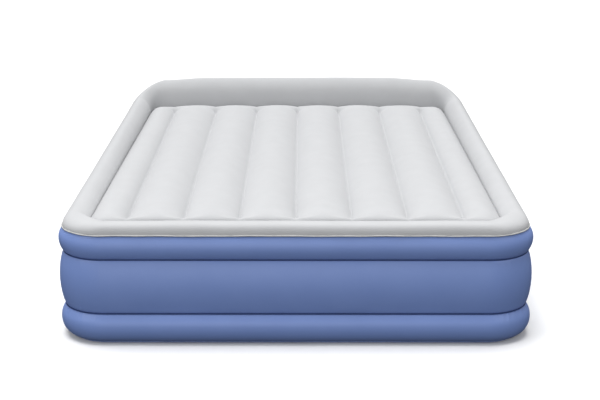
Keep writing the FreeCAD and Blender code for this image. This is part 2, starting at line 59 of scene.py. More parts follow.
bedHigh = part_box("middle_side_tube_wall")[1]
halfWidth, halfLength = bedHigh.x, bedHigh.y
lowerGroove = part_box("lower_tie_sheet")
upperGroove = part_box("upper_tie_sheet")
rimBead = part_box("rim_weld_piping")
seamX = [middle("channel_web_%d" % (i + 1)).x for i in range(7)]
channelPitch = seamX[1] - seamX[0]

bed = {                           # metres, where the frame doesn't give them
    "cornerRadius": 0.157,
    "baseInset": 0.046,
    "grooveInset": 0.017,
    "rimInset": 0.016,            # less at the foot, where the wall is drawn out
    "footRimInset": 0.009,
    "crestInset": 0.056,
    "footCrestInset": 0.043,
    "headCornerPull": 0.015,      # the crest turns this much further in at the corners
    "footCornerPull": 0.030,
    "weldInset": 0.103,
    "weldZ": 0.374,
    "footCrest": 0.396,
    "sideRise": 0.050,
    "headRise": 0.094,
    "climbStart": 0.848,          # along +Y
    "climbRun": 0.160,
    "seamGather": 0.030,          # the seams run closer together by this share at the foot
    "film": 0.0015,
    "ringStep": 0.008,            # spacing of the points round the bed
}


def seamDraw(y):
    return 1 - bed["seamGather"] * (halfLength - y) / (2 * halfLength)


def smooth(t):
    t = np.clip(t, 0.0, 1.0)
    return t * t * (3 - 2 * t)


def waves(seed, place, lengths, strengths):
    # a few sines of unlike lengths, with phases from a fixed seed
    draw = np.random.default_rng(seed)
    total = np.zeros_like(place)
    for length, strength in zip(lengths, strengths):
        total += strength * np.sin(2 * math.pi * (place / length + draw.random()))
    return total


def meshFrom(name, points, faces, edges=()):
    mesh = bpy.data.meshes.new(name)
    mesh.from_pydata(np.reshape(points, (-1, 3)).tolist(), list(edges), np.asarray(faces, int).tolist())
    mesh.update()
    mesh.polygons.foreach_set("use_smooth", [True] * len(mesh.polygons))
    piece = bpy.data.objects.new(name, mesh)
    bpy.context.scene.collection.objects.link(piece)
    return piece


def gridFaces(rows, columns, closed=False, first=0):
    # quads of a grid whose points run row by row; closed joins the last column to the first
    r, c = np.meshgrid(np.arange(rows - 1), np.arange(columns if closed else columns - 1), indexing="ij")
    nextC = (c + 1) % columns
    quads = np.stack([r * columns + c, r * columns + nextC, (r + 1) * columns + nextC, (r + 1) * columns + c], -1)
    return quads.reshape(-1, 4) + first


def applyAll(piece):
    # turns every modifier's result into the piece's own plain mesh
    graph = bpy.context.evaluated_depsgraph_get()
    graph.update()
    mesh = bpy.data.meshes.new_from_object(piece.evaluated_get(graph))
    piece.modifiers.clear()
    old = piece.data
    piece.data = mesh
    bpy.data.meshes.remove(old)
    mesh.name = piece.name
    return piece


def thicken(piece, thickness):
    # the film's own thickness, inwards, so that the outer surface stays where it is
    solid = piece.modifiers.new("film", "SOLIDIFY")
    solid.thickness = thickness
    solid.offset = -1
    solid.use_even_offset = False
    return applyAll(piece)


def fromHex(code):
    parts = [int(code[i:i + 2], 16) / 255 for i in (1, 3, 5)]
    return tuple(p / 12.92 if p <= 0.04045 else ((p + 0.055) / 1.055) ** 2.4 for p in parts) + (1.0,)


def addNode(tree, kind, settings=(), links=()):
    # settings: input or property name to value; links: input name to another node's output
    node = tree.nodes.new(kind)
    for key, value in dict(settings).items():
        if isinstance(key, int) or key in node.inputs:
            node.inputs[key].default_value = value
        else:
            setattr(node, key, value)
    for key, source in dict(links).items():
        tree.links.new(source, node.inputs[key])
    return node


def newMaterial(name, roughness, ior=1.5, metallic=0.0):
    material = bpy.data.materials.new(name)
    material.use_nodes = True
    tree = material.node_tree
    shader = tree.nodes["Principled BSDF"]
    shader.inputs["Roughness"].default_value = roughness
    shader.inputs["Metallic"].default_value = metallic
    if not metallic:
        shader.inputs["IOR"].default_value = ior
    place = addNode(tree, "ShaderNodeTexCoord").outputs["Object"]
    return material, tree, shader, place


def tintBetween(tree, shader, factor, dark, pale):
    tint = addNode(tree, "ShaderNodeMix", {"data_type": "RGBA"}, {"Factor": factor})
    tint.inputs[6].default_value = fromHex(dark)
    tint.inputs[7].default_value = fromHex(pale)
    tree.links.new(tint.outputs[2], shader.inputs["Base Color"])
    return tint


grainStrength = 0.7


def grained(name, dark, pale, patchMm, grainMm, grainHeightMm, roughness, ior=1.5, metallic=0.0, stretch=(1, 1, 1)):
    # colour drifts between two hexes over patchMm; a grain of grainMm stands grainHeightMm high
    material, tree, shader, place = newMaterial(name, roughness, ior, metallic)
    stretched = addNode(tree, "ShaderNodeMapping", {"Scale": stretch}, {"Vector": place}).outputs[0]
    patches = addNode(tree, "ShaderNodeTexNoise", {"Scale": 1000 / patchMm, "Detail": 4.0}, {"Vector": stretched})
    tintBetween(tree, shader, patches.outputs[0], dark, pale)
    grain = addNode(tree, "ShaderNodeTexNoise", {"Scale": 1000 / grainMm, "Detail": 2.0}, {"Vector": stretched})
    bump = addNode(tree, "ShaderNodeBump", {"Strength": grainStrength, "Distance": grainHeightMm / 1000},
                   {"Height": grain.outputs[0]})
    tree.links.new(bump.outputs[0], shader.inputs["Normal"])
    return material, tree, shader


def flockedTop():
    # short nylon flock blown on glued film: matt, a faint pale edge glow, a mottle where the pile leans;
    # the pile is 0.5 mm, drawn at 2.6 mm so that it shows
    material, tree, shader = grained("nylonFlockOnFilm", "#B9BABC", "#C0C1C3", 60, 2.6, 0.5, 0.95)
    shader.inputs["Sheen Weight"].default_value = 0.15
    shader.inputs["Sheen Roughness"].default_value = 0.5
    shader.inputs["Specular IOR Level"].default_value = 0.12
    return material


def bluePvc():
    # calendered vinyl film with a fine embossed grain: satin, with broad soft highlights
    return grained("calenderedPvcBlue", "#7A94D3", "#829CDA", 90, 2.2, 0.06, 0.47, 1.54)[0]


def grooveShadeBlue():
    # film pressed flat by the hot bar between two tubes, smoother than the tubes, and coloured darker as painted
    # shade for the grooves it lies in
    return grained("paintedGrooveShadeBlue", "#33457A", "#3B4E86", 40, 2.0, 0.04, 0.36, 1.54)[0]


def innerPvc():
    # plain calendered film, undyed: cloudy and slightly uneven
    return grained("calenderedPvcPlain", "#A9B0BC", "#B9BFC9", 60, 2.0, 0.05, 0.5, 1.54)[0]


def weldBead():
    # squeezed-out film along the hot bar's edge: smoother and paler than the flock above it
    return grained("pressedWeldEdge", "#B4B5B6", "#CFCFCC", 14, 3.0, 0.35, 0.55, 1.54)[0]


def collarVinyl():
    # soft moulded vinyl, thicker than the film: deeper blue and smoother
    return grained("mouldedSoftVinyl", "#3C5184", "#43598E", 40, 1.2, 0.04, 0.45, 1.53)[0]


def charcoalAbs():
    # moulded ABS off a spark-eroded tool: fine even grain that breaks up its gloss
    return grained("mouldedAbsCharcoal", "#2E3034", "#34363B", 25, 0.8, 0.05, 0.48, 1.52)[0]


def greyAbs():
    # the same moulding in mid grey, for what the hand takes hold of
    return grained("mouldedAbsGrey", "#85888D", "#8E9196", 25, 0.8, 0.04, 0.42, 1.52)[0]


def blackRubber():
    # moulded nitrile: matt with a slight bloom
    return grained("mouldedRubberBlack", "#1A1A1B", "#232324", 12, 0.9, 0.06, 0.8, 1.52)[0]


def zincSteel():
    # bright zinc plate on drawn steel: streaked along the draw, with soft worn patches
    return grained("zincPlatedSteel", "#A6A9AD", "#C2C4C6", 9, 0.6, 0.01, 0.33, metallic=1.0, stretch=(1, 0.2, 1))[0]


def perimeter(step):
    # corner centre, outward direction, distance along, and how far into a corner each place is
    radius = bed["cornerRadius"]
    a, b = halfWidth - radius, halfLength - radius
    rows = []
    along = 0.0
    corners = ((a, b), (-a, b), (-a, -b), (a, -b))
    for k, (cx, cy) in enumerate(corners):
        turn = max(int(radius * math.pi / 2 / (0.7 * step)), 8)     # closer in the corners
        for i in range(turn):
            angle = math.pi / 2 * (k + i / turn)
            rows.append((cx, cy, math.cos(angle), math.sin(angle), along + radius * math.pi / 2 * i / turn,
                         math.sin(math.pi * i / turn)))
        along += radius * math.pi / 2
        nx, ny = corners[(k + 1) % 4]
        run = math.hypot(nx - cx, ny - cy)
        count = int(run / step)
        outX, outY = round(math.cos(math.pi / 2 * (k + 1))), round(math.sin(math.pi / 2 * (k + 1)))
        for i in range(count):
            t = i / count
            rows.append((cx + (nx - cx) * t, cy + (ny - cy) * t, outX, outY, along + run * t, 0.0))
        along += run
    return np.array(rows)


def ringPoints(ring, inset, z):
    # inset and z are (rows, places); the result is (rows, places, 3)
    reach = bed["cornerRadius"] - inset
    return np.stack([ring[:, 0] + reach * ring[:, 2], ring[:, 1] + reach * ring[:, 3], z], -1)


ring = perimeter(bed["ringStep"])
along = ring[:, 4][None, :]
corner = ring[:, 5][None, :] ** 0.5
atFoot = np.clip(-ring[:, 3], 0, 1)[None, :] ** 2
rimInset = bed["rimInset"] + (bed["footRimInset"] - bed["rimInset"]) * atFoot


sideTubes = {
    "rows": 30,
    "pucker": 0.0024,             # height of the creases along the grooves at the corners
    "puckerReach": 0.016,
    "puckerStart": 0.004,         # they begin this far from the weld
    "straightPucker": 0.10,       # what is left of them away from the corners
    "ripple": 0.0012,             # long soft unevenness of the film
    "rippleSink": 0.6,            # the film lies this share of that further in
    "heldRun": 0.02,              # no ripples this close to a weld
    "squareness": 0.62,           # under 1 the bulge is squarer than a sine
    "underRim": 0.003,            # the upper tube ends this far inside the rim
    "lowRound": 0.55,             # share of the lower tube that its round foot takes
    "lowSquareness": 1.3,
    "atPump": 0.22,               # squareness where the film is drawn over the pump's collar
    "pumpReach": 0.12,            # how far beside the collar it takes to die away
    "collarCorner": 0.021,        # of the opening for the collar, which is this much larger
    "collarGap": 0.0005,
}


def nearPump(points):
    # 1 over the collar, falling to 0 along the head end
    collar, half = middle("pump_collar"), sizeOf("pump_collar").x / 2
    beside = np.maximum(np.abs(points[..., 0] - collar.x) - half, 0) / sideTubes["pumpReach"]
    return (1 - smooth(beside)) * (points[..., 1] > 0.5 * halfLength)


def tubeRows():
    t = np.linspace(0, 1, sideTubes["rows"])
    return 0.5 - 0.5 * np.cos(math.pi * t)          # closer rows near the welds


def tubeLine(lowZ, highZ, lowInset, highInset, squareness):
    t = tubeRows()[:, None]
    inset = (lowInset + (highInset - lowInset) * t) * (1 - np.sin(math.pi * t) ** squareness)
    return inset, lowZ + (highZ - lowZ) * t


def lowTubeLine(topZ, topInset):
    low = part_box("lower_side_tube_wall")[0].z
    roundZ = sideTubes["lowRound"] * topZ
    turn = np.linspace(math.pi / 2, 0, 16)
    inset = bed["baseInset"] * (1 - np.cos(turn))
    z = low + (roundZ - low) * (1 - np.sin(turn))
    t = np.linspace(0, 1, 14)[1:]
    inset = np.append(inset, topInset * (1 - np.cos(math.pi * t / 2)) ** sideTubes["lowSquareness"])
    return inset[:, None], np.append(z, roundZ + (topZ - roundZ) * t)[:, None]


def makeTube(name, line, seed, puckerLow, puckerHigh):
    inset, z = line
    steps = np.hypot(np.diff(inset[:, 0]), np.diff(z[:, 0]))
    length = np.concatenate([[0], np.cumsum(steps)])[:, None]
    fromLow, fromHigh = length, length[-1] - length
    held = np.clip(np.minimum(fromLow, fromHigh) / sideTubes["heldRun"], 0, 1)
    crease = 0
    for far, depth, shift in ((fromLow, puckerLow, 0), (fromHigh, puckerHigh, 1)):
        folds = waves(seed + shift, along, (0.017, 0.023, 0.031), (0.6, 0.5, 0.4))
        patchy = 0.5 + 0.5 * waves(seed + 7 + shift, along, (0.21, 0.13), (0.6, 0.4))
        fade = np.exp(-far / sideTubes["puckerReach"]) * np.clip(far / sideTubes["puckerStart"], 0, 1)
        crease = crease + depth * fade * folds * (sideTubes["straightPucker"] + corner) * patchy
    ripple = waves(seed + 3, along, (0.9, 0.37, 0.21), (0.5, 0.35, 0.25)) * held
    move = sideTubes["pucker"] * crease + sideTubes["ripple"] * (ripple - sideTubes["rippleSink"] * held)
    points = ringPoints(ring, inset - move, np.repeat(z, len(ring), 1))
    return meshFrom(name, points, gridFaces(len(z), len(ring), True))


def makeMiddleTube(line):
    # squarer and without ripples over the pump, then opened for its collar
    squarer = tubeLine(line[1][0, 0], line[1][-1, 0], bed["grooveInset"], bed["grooveInset"], sideTubes["atPump"])[0]
    piece = makeTube("middleSideTube", line, 23, 1.0, 0.7)
    points = np.array([v.co for v in piece.data.vertices]).reshape(len(line[1]), len(ring), 3)
    flat = ringPoints(ring, np.repeat(squarer, len(ring), 1), points[..., 2])
    share = nearPump(points)[..., None]
    piece.data.vertices.foreach_set("co", (points * (1 - share) + flat * share).ravel())
    thicken(piece, bed["film"])
    cutter = roundedBlock("collarCutter", middle("pump_collar"), sizeOf("pump_collar"))
    opening = piece.modifiers.new("pumpOpening", "BOOLEAN")
    opening.operation = "DIFFERENCE"
    opening.object = cutter
    opening.solver = "EXACT"
    applyAll(piece)
    bpy.data.objects.remove(cutter)
    return piece


def roundedBlock(name, centre, size):
    # rounded rectangle standing across the head end, long enough to pass through the film
    radius, margin = sideTubes["collarCorner"], sideTubes["collarGap"]
    halfX, halfZ = size.x / 2 + margin, size.z / 2 + margin
    outline = []
    for k, (sx, sz) in enumerate(((1, 1), (-1, 1), (-1, -1), (1, -1))):
        for i in range(9):
            angle = math.pi / 2 * (k + i / 8)
            outline.append((centre.x + sx * (halfX - radius) + radius * math.cos(angle),
                            centre.z + sz * (halfZ - radius) + radius * math.sin(angle)))
    count = len(outline)
    points = [(x, y, z) for y in (centre.y - 0.06, centre.y + 0.06) for x, z in outline]
    mesh = bpy.data.meshes.new(name)
    sides = [(i, i + count, (i + 1) % count + count, (i + 1) % count) for i in range(count)]
    mesh.from_pydata(points, [], sides + [tuple(range(count)), tuple(range(2 * count - 1, count - 1, -1))])
    mesh.update()
    block = bpy.data.objects.new(name, mesh)
    bpy.context.scene.collection.objects.link(block)
    return block


def makeSideTubes():
    g, square = bed["grooveInset"], sideTubes["squareness"]
    upper = tubeLine(upperGroove[1].z, rimBead[0].z, g, rimInset + sideTubes["underRim"], square)
    centre = tubeLine(lowerGroove[1].z, upperGroove[0].z, g, g, square)
    lower = lowTubeLine(lowerGroove[0].z, g)
    return {
        "upper": thicken(makeTube("upperSideTube", upper, 11, 0.5, 0.15), bed["film"]),
        "middle": makeMiddleTube(centre),
        "lower": thicken(makeTube("lowerSideTube", lower, 37, 0.2, 1.9), bed["film"]),
    }


bolster = {
    "rows": 44,
    "bulge": 0.014,               # how much the head ledge swells past its welds
    "footSquare": 0.40,           # how much more upright the foot's outer face is than a round one
    "slope": 1.5,                 # 1 is an upright inner wall, more lets it lean back from its weld
    "slopeUntil": 0.25,           # the lean goes once the bolster is this share of the ledge's height
    "slopeFade": 0.35,
    "droop": 0.012,               # how much lower the head crest is at its corners
    "droopFrom": 0.40,            # across the bed, from its middle
    "droopRun": 0.21,
    "uneven": 0.0012,             # long soft unevenness of the crest
    "innerSlope": 0.06,           # rough length of the inner slope
    "dimple": 0.0030,             # pull of each channel seam on the inner slope at the foot and head
    "dimpleHalf": 0.013,
    "dimpleReach": 0.020,
    "pucker": 0.0010,
    "puckerReach": 0.018,
    "puckerStart": 0.006,
    "straightPucker": 0.15,
}


def crestHeight(y):
    return (bed["footCrest"] + bed["sideRise"] * (y + halfLength) / (2 * halfLength)
            + bed["headRise"] * smooth((y - bed["climbStart"]) / bed["climbRun"]))


def makeBolster():
    pull = np.where(ring[:, 3] > 0, bed["headCornerPull"], bed["footCornerPull"]) * ring[:, 5]
    crestInset = bed["crestInset"] + (bed["footCrestInset"] - bed["crestInset"]) * atFoot + pull[None, :]
    crestY = ring[:, 1] + (bed["cornerRadius"] - crestInset) * ring[:, 3]
    tallness = (crestHeight(crestY) - bed["footCrest"]) / (bed["sideRise"] + bed["headRise"])
    bulge = bolster["bulge"] * tallness
    crestX = np.abs(ring[:, 0] + (bed["cornerRadius"] - crestInset) * ring[:, 2])
    atCorner = smooth((crestX - bolster["droopFrom"]) / bolster["droopRun"]) * np.clip(ring[:, 3], 0, 1) ** 6
    crest = crestHeight(crestY) - bolster["droop"] * atCorner
    crest = crest + bolster["uneven"] * waves(61, along, (0.83, 0.41, 0.27), (0.5, 0.35, 0.2))
    half = bolster["rows"] // 2
    u = np.linspace(0, 1, half)[:, None]
    rim, weld = rimBead[1].z, bed["weldZ"] + 0.0005
    swell = bulge * np.sin(math.pi * u) ** 2
    upright = 1 - bolster["footSquare"] * atFoot
    outInset = crestInset - (crestInset - rimInset + swell) * np.abs(np.cos(math.pi * u / 2)) ** upright
    outZ = rim + (crest - rim) * np.sin(math.pi * u / 2)
    inInset = crestInset + (bed["weldInset"] - crestInset + swell) * np.cos(math.pi * u / 2)
    lean = 1 + (bolster["slope"] - 1) * (1 - smooth((tallness - bolster["slopeUntil"]) / bolster["slopeFade"]))
    inZ = weld + (crest - weld) * np.sin(math.pi * u / 2) ** lean
    inset = np.concatenate([outInset, inInset[::-1][1:]])
    z = np.concatenate([outZ, inZ[::-1][1:]])
    points = ringPoints(ring, inset, z)
    # the channel seams pull small dimples into the inner slope
    fromWeld = np.concatenate([np.ones((half, 1)), u[::-1][1:]]) * bolster["innerSlope"]
    begun = np.clip(fromWeld / bolster["puckerStart"], 0, 1)
    ends = np.abs(ring[:, 3]) > 0.5
    for x in seamX:
        beside = (points[..., 0] - x * seamDraw(points[..., 1])) / bolster["dimpleHalf"]
        near = np.exp(-beside ** 2) * np.exp(-fromWeld / bolster["dimpleReach"]) * ends[None, :]
        points[..., 2] -= bolster["dimple"] * near * begun
    folds = waves(51, along, (0.019, 0.027, 0.041), (0.5, 0.5, 0.4)) * (bolster["straightPucker"] + corner)
    points[..., 2] += bolster["pucker"] * folds * np.exp(-fromWeld / bolster["puckerReach"]) * begun
    piece = meshFrom("perimeterBolster", points, gridFaces(len(inset), len(ring), True))
    return thicken(piece, bed["film"])


sleeping = {
    "step": 0.008,
    "endCloseness": 0.75,         # from 0 to 1, how much closer the rows lie at the ends
    "edgeGap": 0.0015,            # from the bolster's weld
    "rise": 0.037,
    "crown": 0.70,                # under 1 the channels meet in a sharper valley
    "edgeCrown": 1.15,            # the same for the two outer half channels
    "domeRun": 0.075,
    "seamEnd": 0.062,             # the seams stop this far from the head weld
    "footSeamEnd": 0.018,
    "ridgeAt": 0.62,              # where the level ridge past their ends begins, as a share of that
    "ridgeDip": 0.24,             # how much of the valley is left on that ridge
    "flange": 0.008,              # under the bolster's weld
    "flangeOut": 0.004,           # in front of it
    "flangeDrop": 0.0004,
    "weldDepth": 0.0012,
    "weldHalf": 0.0035,
    "pucker": 0.0006,
    "puckerReach": 0.014,
    "puckerStart": 0.004,
    "starDepth": 0.0025,          # the pinch where a seam ends
    "starSize": 0.010,
    "drift": 0.0009,              # slow unevenness of the channels' tops
    "driftRun": 0.05,
    "pressure": 2.0,
    "frames": 14,
    "cap": 0.006,
    "mass": 0.3,
    "stretch": 30,
    "shear": 10,
    "bending": 0.2,
    "quality": 6,
}


def sheetColumns(places):
    # channel number and place across it, closer together near the seams
    channel, t = [], []
    for k in range(len(places) - 1):
        count = int(round((places[k + 1] - places[k]) / sleeping["step"]))
        for i in range(count + (1 if k == len(places) - 2 else 0)):
            channel.append(k)
            t.append(i / count)
    t = np.array(t)
    return np.array(channel), t - 0.5 * np.sin(2 * math.pi * t) / (2 * math.pi)


def makeSleepingSheet():
    edgeInset = bed["weldInset"] + sleeping["edgeGap"]
    halfX, halfY = halfWidth - edgeInset, halfLength - edgeInset
    radius = bed["cornerRadius"] - edgeInset
    places = np.array([-halfX] + seamX + [halfX])
    channel, t = sheetColumns(places)
    last = len(places) - 2
    rows = int(2 * halfY / sleeping["step"])
    turn = np.linspace(-1, 1, rows + 1) * math.pi / 2 * sleeping["endCloseness"]
    y = halfY * np.sin(turn) / np.sin(turn[-1])
    past = np.clip(np.abs(y) - (halfY - radius), 0, radius)
    edge = (halfX - radius + np.sqrt(radius ** 2 - past ** 2))[:, None]
    drawn = seamDraw(y)[:, None]
    left = np.where(channel == 0, -edge, places[channel][None, :] * drawn)
    right = np.where(channel == last, edge, places[channel + 1][None, :] * drawn)
    x = left + (right - left) * t
    fromEnd = np.clip(halfY - np.abs(y), 0, None)[:, None]
    outer = ((channel == 0) & (t < 0.5)) | ((channel == last) & (t > 0.5))
    across = np.clip(4 * t * (1 - t), 0, 1)[None, :] ** np.where(outer, sleeping["edgeCrown"], sleeping["crown"])
    seamEnd = np.where(y > 0, sleeping["seamEnd"], sleeping["footSeamEnd"])[:, None]
    pastSeam = smooth((fromEnd / seamEnd - sleeping["ridgeAt"]) / (1.1 - sleeping["ridgeAt"]))
    dip = 1 - (1 - sleeping["ridgeDip"]) * (1 - pastSeam)
    swell = np.sqrt(np.clip(1 - (1 - np.clip(fromEnd / sleeping["domeRun"], 0, 1)) ** 2, 0, 1))
    rise = sleeping["rise"] * np.clip((right - left) / channelPitch, 0, 1) ** 0.4
    ridge = sleeping["rise"] * np.where(outer, 2 * np.minimum(t, 1 - t), 1.0) * (1 - dip)
    z = bed["weldZ"] + swell * (ridge + across * (rise - ridge))
    points = np.stack([x, np.repeat(y[:, None], len(t), 1), z], -1)
    onSeam = (t < 1e-6) | (t > 1 - 1e-6)
    rim = (fromEnd < 1e-6) | (onSeam & outer)[None, :]
    held = rim | (onSeam[None, :] & (fromEnd > seamEnd))
    piece = meshFrom("sleepingSheet", points, gridFaces(len(y), len(t)))
    points = inflate(piece, points, held)
    fromSeam = np.minimum(t, 1 - t) * (right - left) + 0 * fromEnd
    points[..., 2] += seamDetail(points, fromSeam, fromEnd, seamEnd, outer)
    bpy.data.objects.remove(piece)
    return joinFlange(points)


def seamDetail(points, fromSeam, fromEnd, seamEnd, outer):
    # pressed weld along each seam, fine gathers beside it and a small star at its end
    x, y = points[..., 0], points[..., 1]
    inner = np.where(outer[None, :], 0.0, 1.0)
    onSheet = inner * smooth((fromEnd - seamEnd) / 0.01 + 1)
    weld = -sleeping["weldDepth"] * np.exp(-(fromSeam / sleeping["weldHalf"]) ** 2) * onSheet
    gathers = waves(71, y + 0.37 * np.round(x / channelPitch), (0.023, 0.034, 0.052), (0.4, 0.5, 0.4))
    begun = np.clip(fromSeam / sleeping["puckerStart"], 0, 1)
    gathers = gathers * sleeping["pucker"] * np.exp(-fromSeam / sleeping["puckerReach"]) * begun
    fromStar = np.hypot(fromSeam, fromEnd - seamEnd)
    star = -sleeping["starDepth"] * np.exp(-(fromStar / sleeping["starSize"]) ** 2) * inner
    drift = sleeping["drift"] * waves(77, x + 0.6 * y, (0.31, 0.19), (0.6, 0.4))
    drift = drift * np.clip(fromSeam / sleeping["driftRun"], 0, 1) * np.clip(fromEnd / sleeping["driftRun"], 0, 1)
    return weld + gathers + star + drift


def joinFlange(points):
    # the sheet with the flat edge that is welded under the bolster
    rows, columns = points.shape[:2]
    strip = np.array([bed["weldInset"] - sleeping["flange"], bed["weldInset"] + sleeping["flangeOut"]])[:, None]
    flange = ringPoints(ring, strip + 0 * along, bed["weldZ"] - sleeping["flangeDrop"] + 0 * strip * along)
    allPoints = np.concatenate([points.reshape(-1, 3), flange.reshape(-1, 3)])
    faces = np.concatenate([gridFaces(rows, columns), gridFaces(2, len(ring), True, rows * columns)])
    return thicken(meshFrom("sleepingSheet", allPoints, faces), bed["film"])


def inflate(piece, points, held):
    # air pressure on the sheet, with every weld held; the result is kept, within a cap
    group = piece.vertex_groups.new(name="welds")
    group.add(np.flatnonzero(held.ravel()).tolist(), 1.0, "REPLACE")
    cloth = piece.modifiers.new("air", "CLOTH")
    cloth.settings.vertex_group_mass = "welds"
    cloth.settings.use_pressure = True
    cloth.settings.uniform_pressure_force = sleeping["pressure"]
    cloth.settings.effector_weights.gravity = 0
    cloth.settings.mass = sleeping["mass"]
    cloth.settings.tension_stiffness = sleeping["stretch"]
    cloth.settings.compression_stiffness = sleeping["stretch"]
    cloth.settings.shear_stiffness = sleeping["shear"]
    cloth.settings.bending_stiffness = sleeping["bending"]
    cloth.settings.quality = sleeping["quality"]
    cloth.point_cache.frame_end = sleeping["frames"]
    for number in range(1, sleeping["frames"] + 1):
        bpy.context.scene.frame_set(number)
    graph = bpy.context.evaluated_depsgraph_get()
    moved = np.empty(points.size)
    piece.evaluated_get(graph).data.vertices.foreach_get("co", moved)
    piece.modifiers.clear()
    bpy.context.scene.frame_set(1)
    shift = moved.reshape(points.shape) - points
    size = np.linalg.norm(shift, axis=-1, keepdims=True)
    print("sleeping sheet moved up to %.1f mm, mean %.2f mm" % (1000 * size.max(), 1000 * size.mean()))
    return points + shift * np.minimum(1, sleeping["cap"] / np.maximum(size, 1e-9))


piping = {
    "radius": 0.0022,
    "proud": 0.0014,              # its middle stands out this far from the weld
    "uneven": 0.0011,             # how much the squeezed edge wanders in and out
    "wander": 0.026,              # length of that
    "sway": 0.0006,               # how much the whole bead drifts in, out, up and down
    "lift": 0.0008,               # above the rim's middle height
}
dialRibs = {
    "count": 40,
    "rib": (0.0011, 0.0010, 0.0024),
    "behindFace": 0.0075,
}
doorRidges = {
    "count": 5,
    "ridge": (0.018, 0.0008, 0.0009),
    "pitch": 0.0026,
    "belowMiddle": 0.009,
}


def newTree(name, inputs):
    # a geometry tree with named sizes; returns it with its input node
    tree = bpy.data.node_groups.new(name, "GeometryNodeTree")
    tree.interface.new_socket("Geometry", in_out="INPUT", socket_type="NodeSocketGeometry")
    tree.interface.new_socket("Geometry", in_out="OUTPUT", socket_type="NodeSocketGeometry")
    for label, kind in inputs.items():
        tree.interface.new_socket(label, in_out="INPUT", socket_type="NodeSocket" + kind)
    return tree, addNode(tree, "NodeGroupInput")


def closeTree(tree, geometry, material):
    whole = addNode(tree, "GeometryNodeRealizeInstances", {}, {0: geometry})
    painted = addNode(tree, "GeometryNodeSetMaterial", {"Material": material}, {0: whole.outputs[0]})
    addNode(tree, "NodeGroupOutput", {}, {0: painted.outputs[0]})


def growTree(piece, tree, values):
    modifier = piece.modifiers.new(tree.name, "NODES")
    modifier.node_group = tree
    for item in tree.interface.items_tree:
        if item.in_out == "INPUT" and item.name in values:
            modifier[item.identifier] = values[item.name]
    return applyAll(piece)


def makePiping(material):
    # a bead swept round the rim, its surface pushed in and out by a slow noise
    tree, sizes = newTree("rimBead", {"Bead radius": "Float", "Unevenness": "Float", "Wander": "Float"})
    path = addNode(tree, "GeometryNodeMeshToCurve", {}, {0: sizes.outputs["Geometry"]})
    section = addNode(tree, "GeometryNodeCurvePrimitiveCircle", {"Resolution": 8},
                      {"Radius": sizes.outputs["Bead radius"]})
    bead = addNode(tree, "GeometryNodeCurveToMesh", {},
                   {"Curve": path.outputs[0], "Profile Curve": section.outputs[0]})
    scale = addNode(tree, "ShaderNodeMath", {"operation": "DIVIDE", 0: 1.0}, {1: sizes.outputs["Wander"]})
    noise = addNode(tree, "ShaderNodeTexNoise", {"Detail": 2.0}, {"Scale": scale.outputs[0]})
    swing = addNode(tree, "ShaderNodeMath", {"operation": "SUBTRACT", 1: 0.5}, {0: noise.outputs[0]})
    amount = addNode(tree, "ShaderNodeMath", {"operation": "MULTIPLY"},
                     {0: swing.outputs[0], 1: sizes.outputs["Unevenness"]})
    outwards = addNode(tree, "GeometryNodeInputNormal")
    push = addNode(tree, "ShaderNodeVectorMath", {"operation": "SCALE"},
                   {0: outwards.outputs[0], "Scale": amount.outputs[0]})
    moved = addNode(tree, "GeometryNodeSetPosition", {}, {0: bead.outputs[0], "Offset": push.outputs[0]})
    closeTree(tree, moved.outputs[0], material)
    count = len(ring)
    inset = rimInset - piping["proud"] + piping["sway"] * waves(83, along, (0.47, 0.16), (0.6, 0.4))
    z = middle("rim_weld_piping").z + piping["lift"] + piping["sway"] * waves(87, along, (0.39, 0.14), (0.6, 0.5))
    loop = meshFrom("rimPiping", ringPoints(ring, inset, z), [], [(i, (i + 1) % count) for i in range(count)])
    growTree(loop, tree, {"Bead radius": piping["radius"], "Unevenness": 2 * piping["uneven"],
                          "Wander": piping["wander"]})
    loop.data.polygons.foreach_set("use_smooth", [True] * len(loop.data.polygons))
    return loop


def makeDialRibs(material):
    # small bars set round the dial's rim
    tree, sizes = newTree("dialRibs", {"Ribs": "Int", "Ring radius": "Float", "Rib size": "Vector"})
    rim = addNode(tree, "GeometryNodeCurvePrimitiveCircle", {}, {"Radius": sizes.outputs["Ring radius"]})
    spots = addNode(tree, "GeometryNodeCurveToPoints", {}, {0: rim.outputs[0], "Count": sizes.outputs["Ribs"]})
    bar = addNode(tree, "GeometryNodeMeshCube", {}, {"Size": sizes.outputs["Rib size"]})
    bars = addNode(tree, "GeometryNodeInstanceOnPoints", {},
                   {"Points": spots.outputs[0], "Instance": bar.outputs[0], "Rotation": spots.outputs["Rotation"]})
    centre = middle("control_dial")
    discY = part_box("control_dial")[1].y - dialRibs["behindFace"]
    stood = addNode(tree, "GeometryNodeTransform",
                    {"Translation": (centre.x, discY, centre.z), "Rotation": (math.pi / 2, 0, 0)},
                    {0: bars.outputs[0]})
    closeTree(tree, stood.outputs[0], material)
    carrier = meshFrom("dialRibs", np.zeros((1, 3)), [])
    return growTree(carrier, tree, {"Ribs": dialRibs["count"], "Ring radius": sizeOf("control_dial").x / 2,
                                    "Rib size": dialRibs["rib"]})


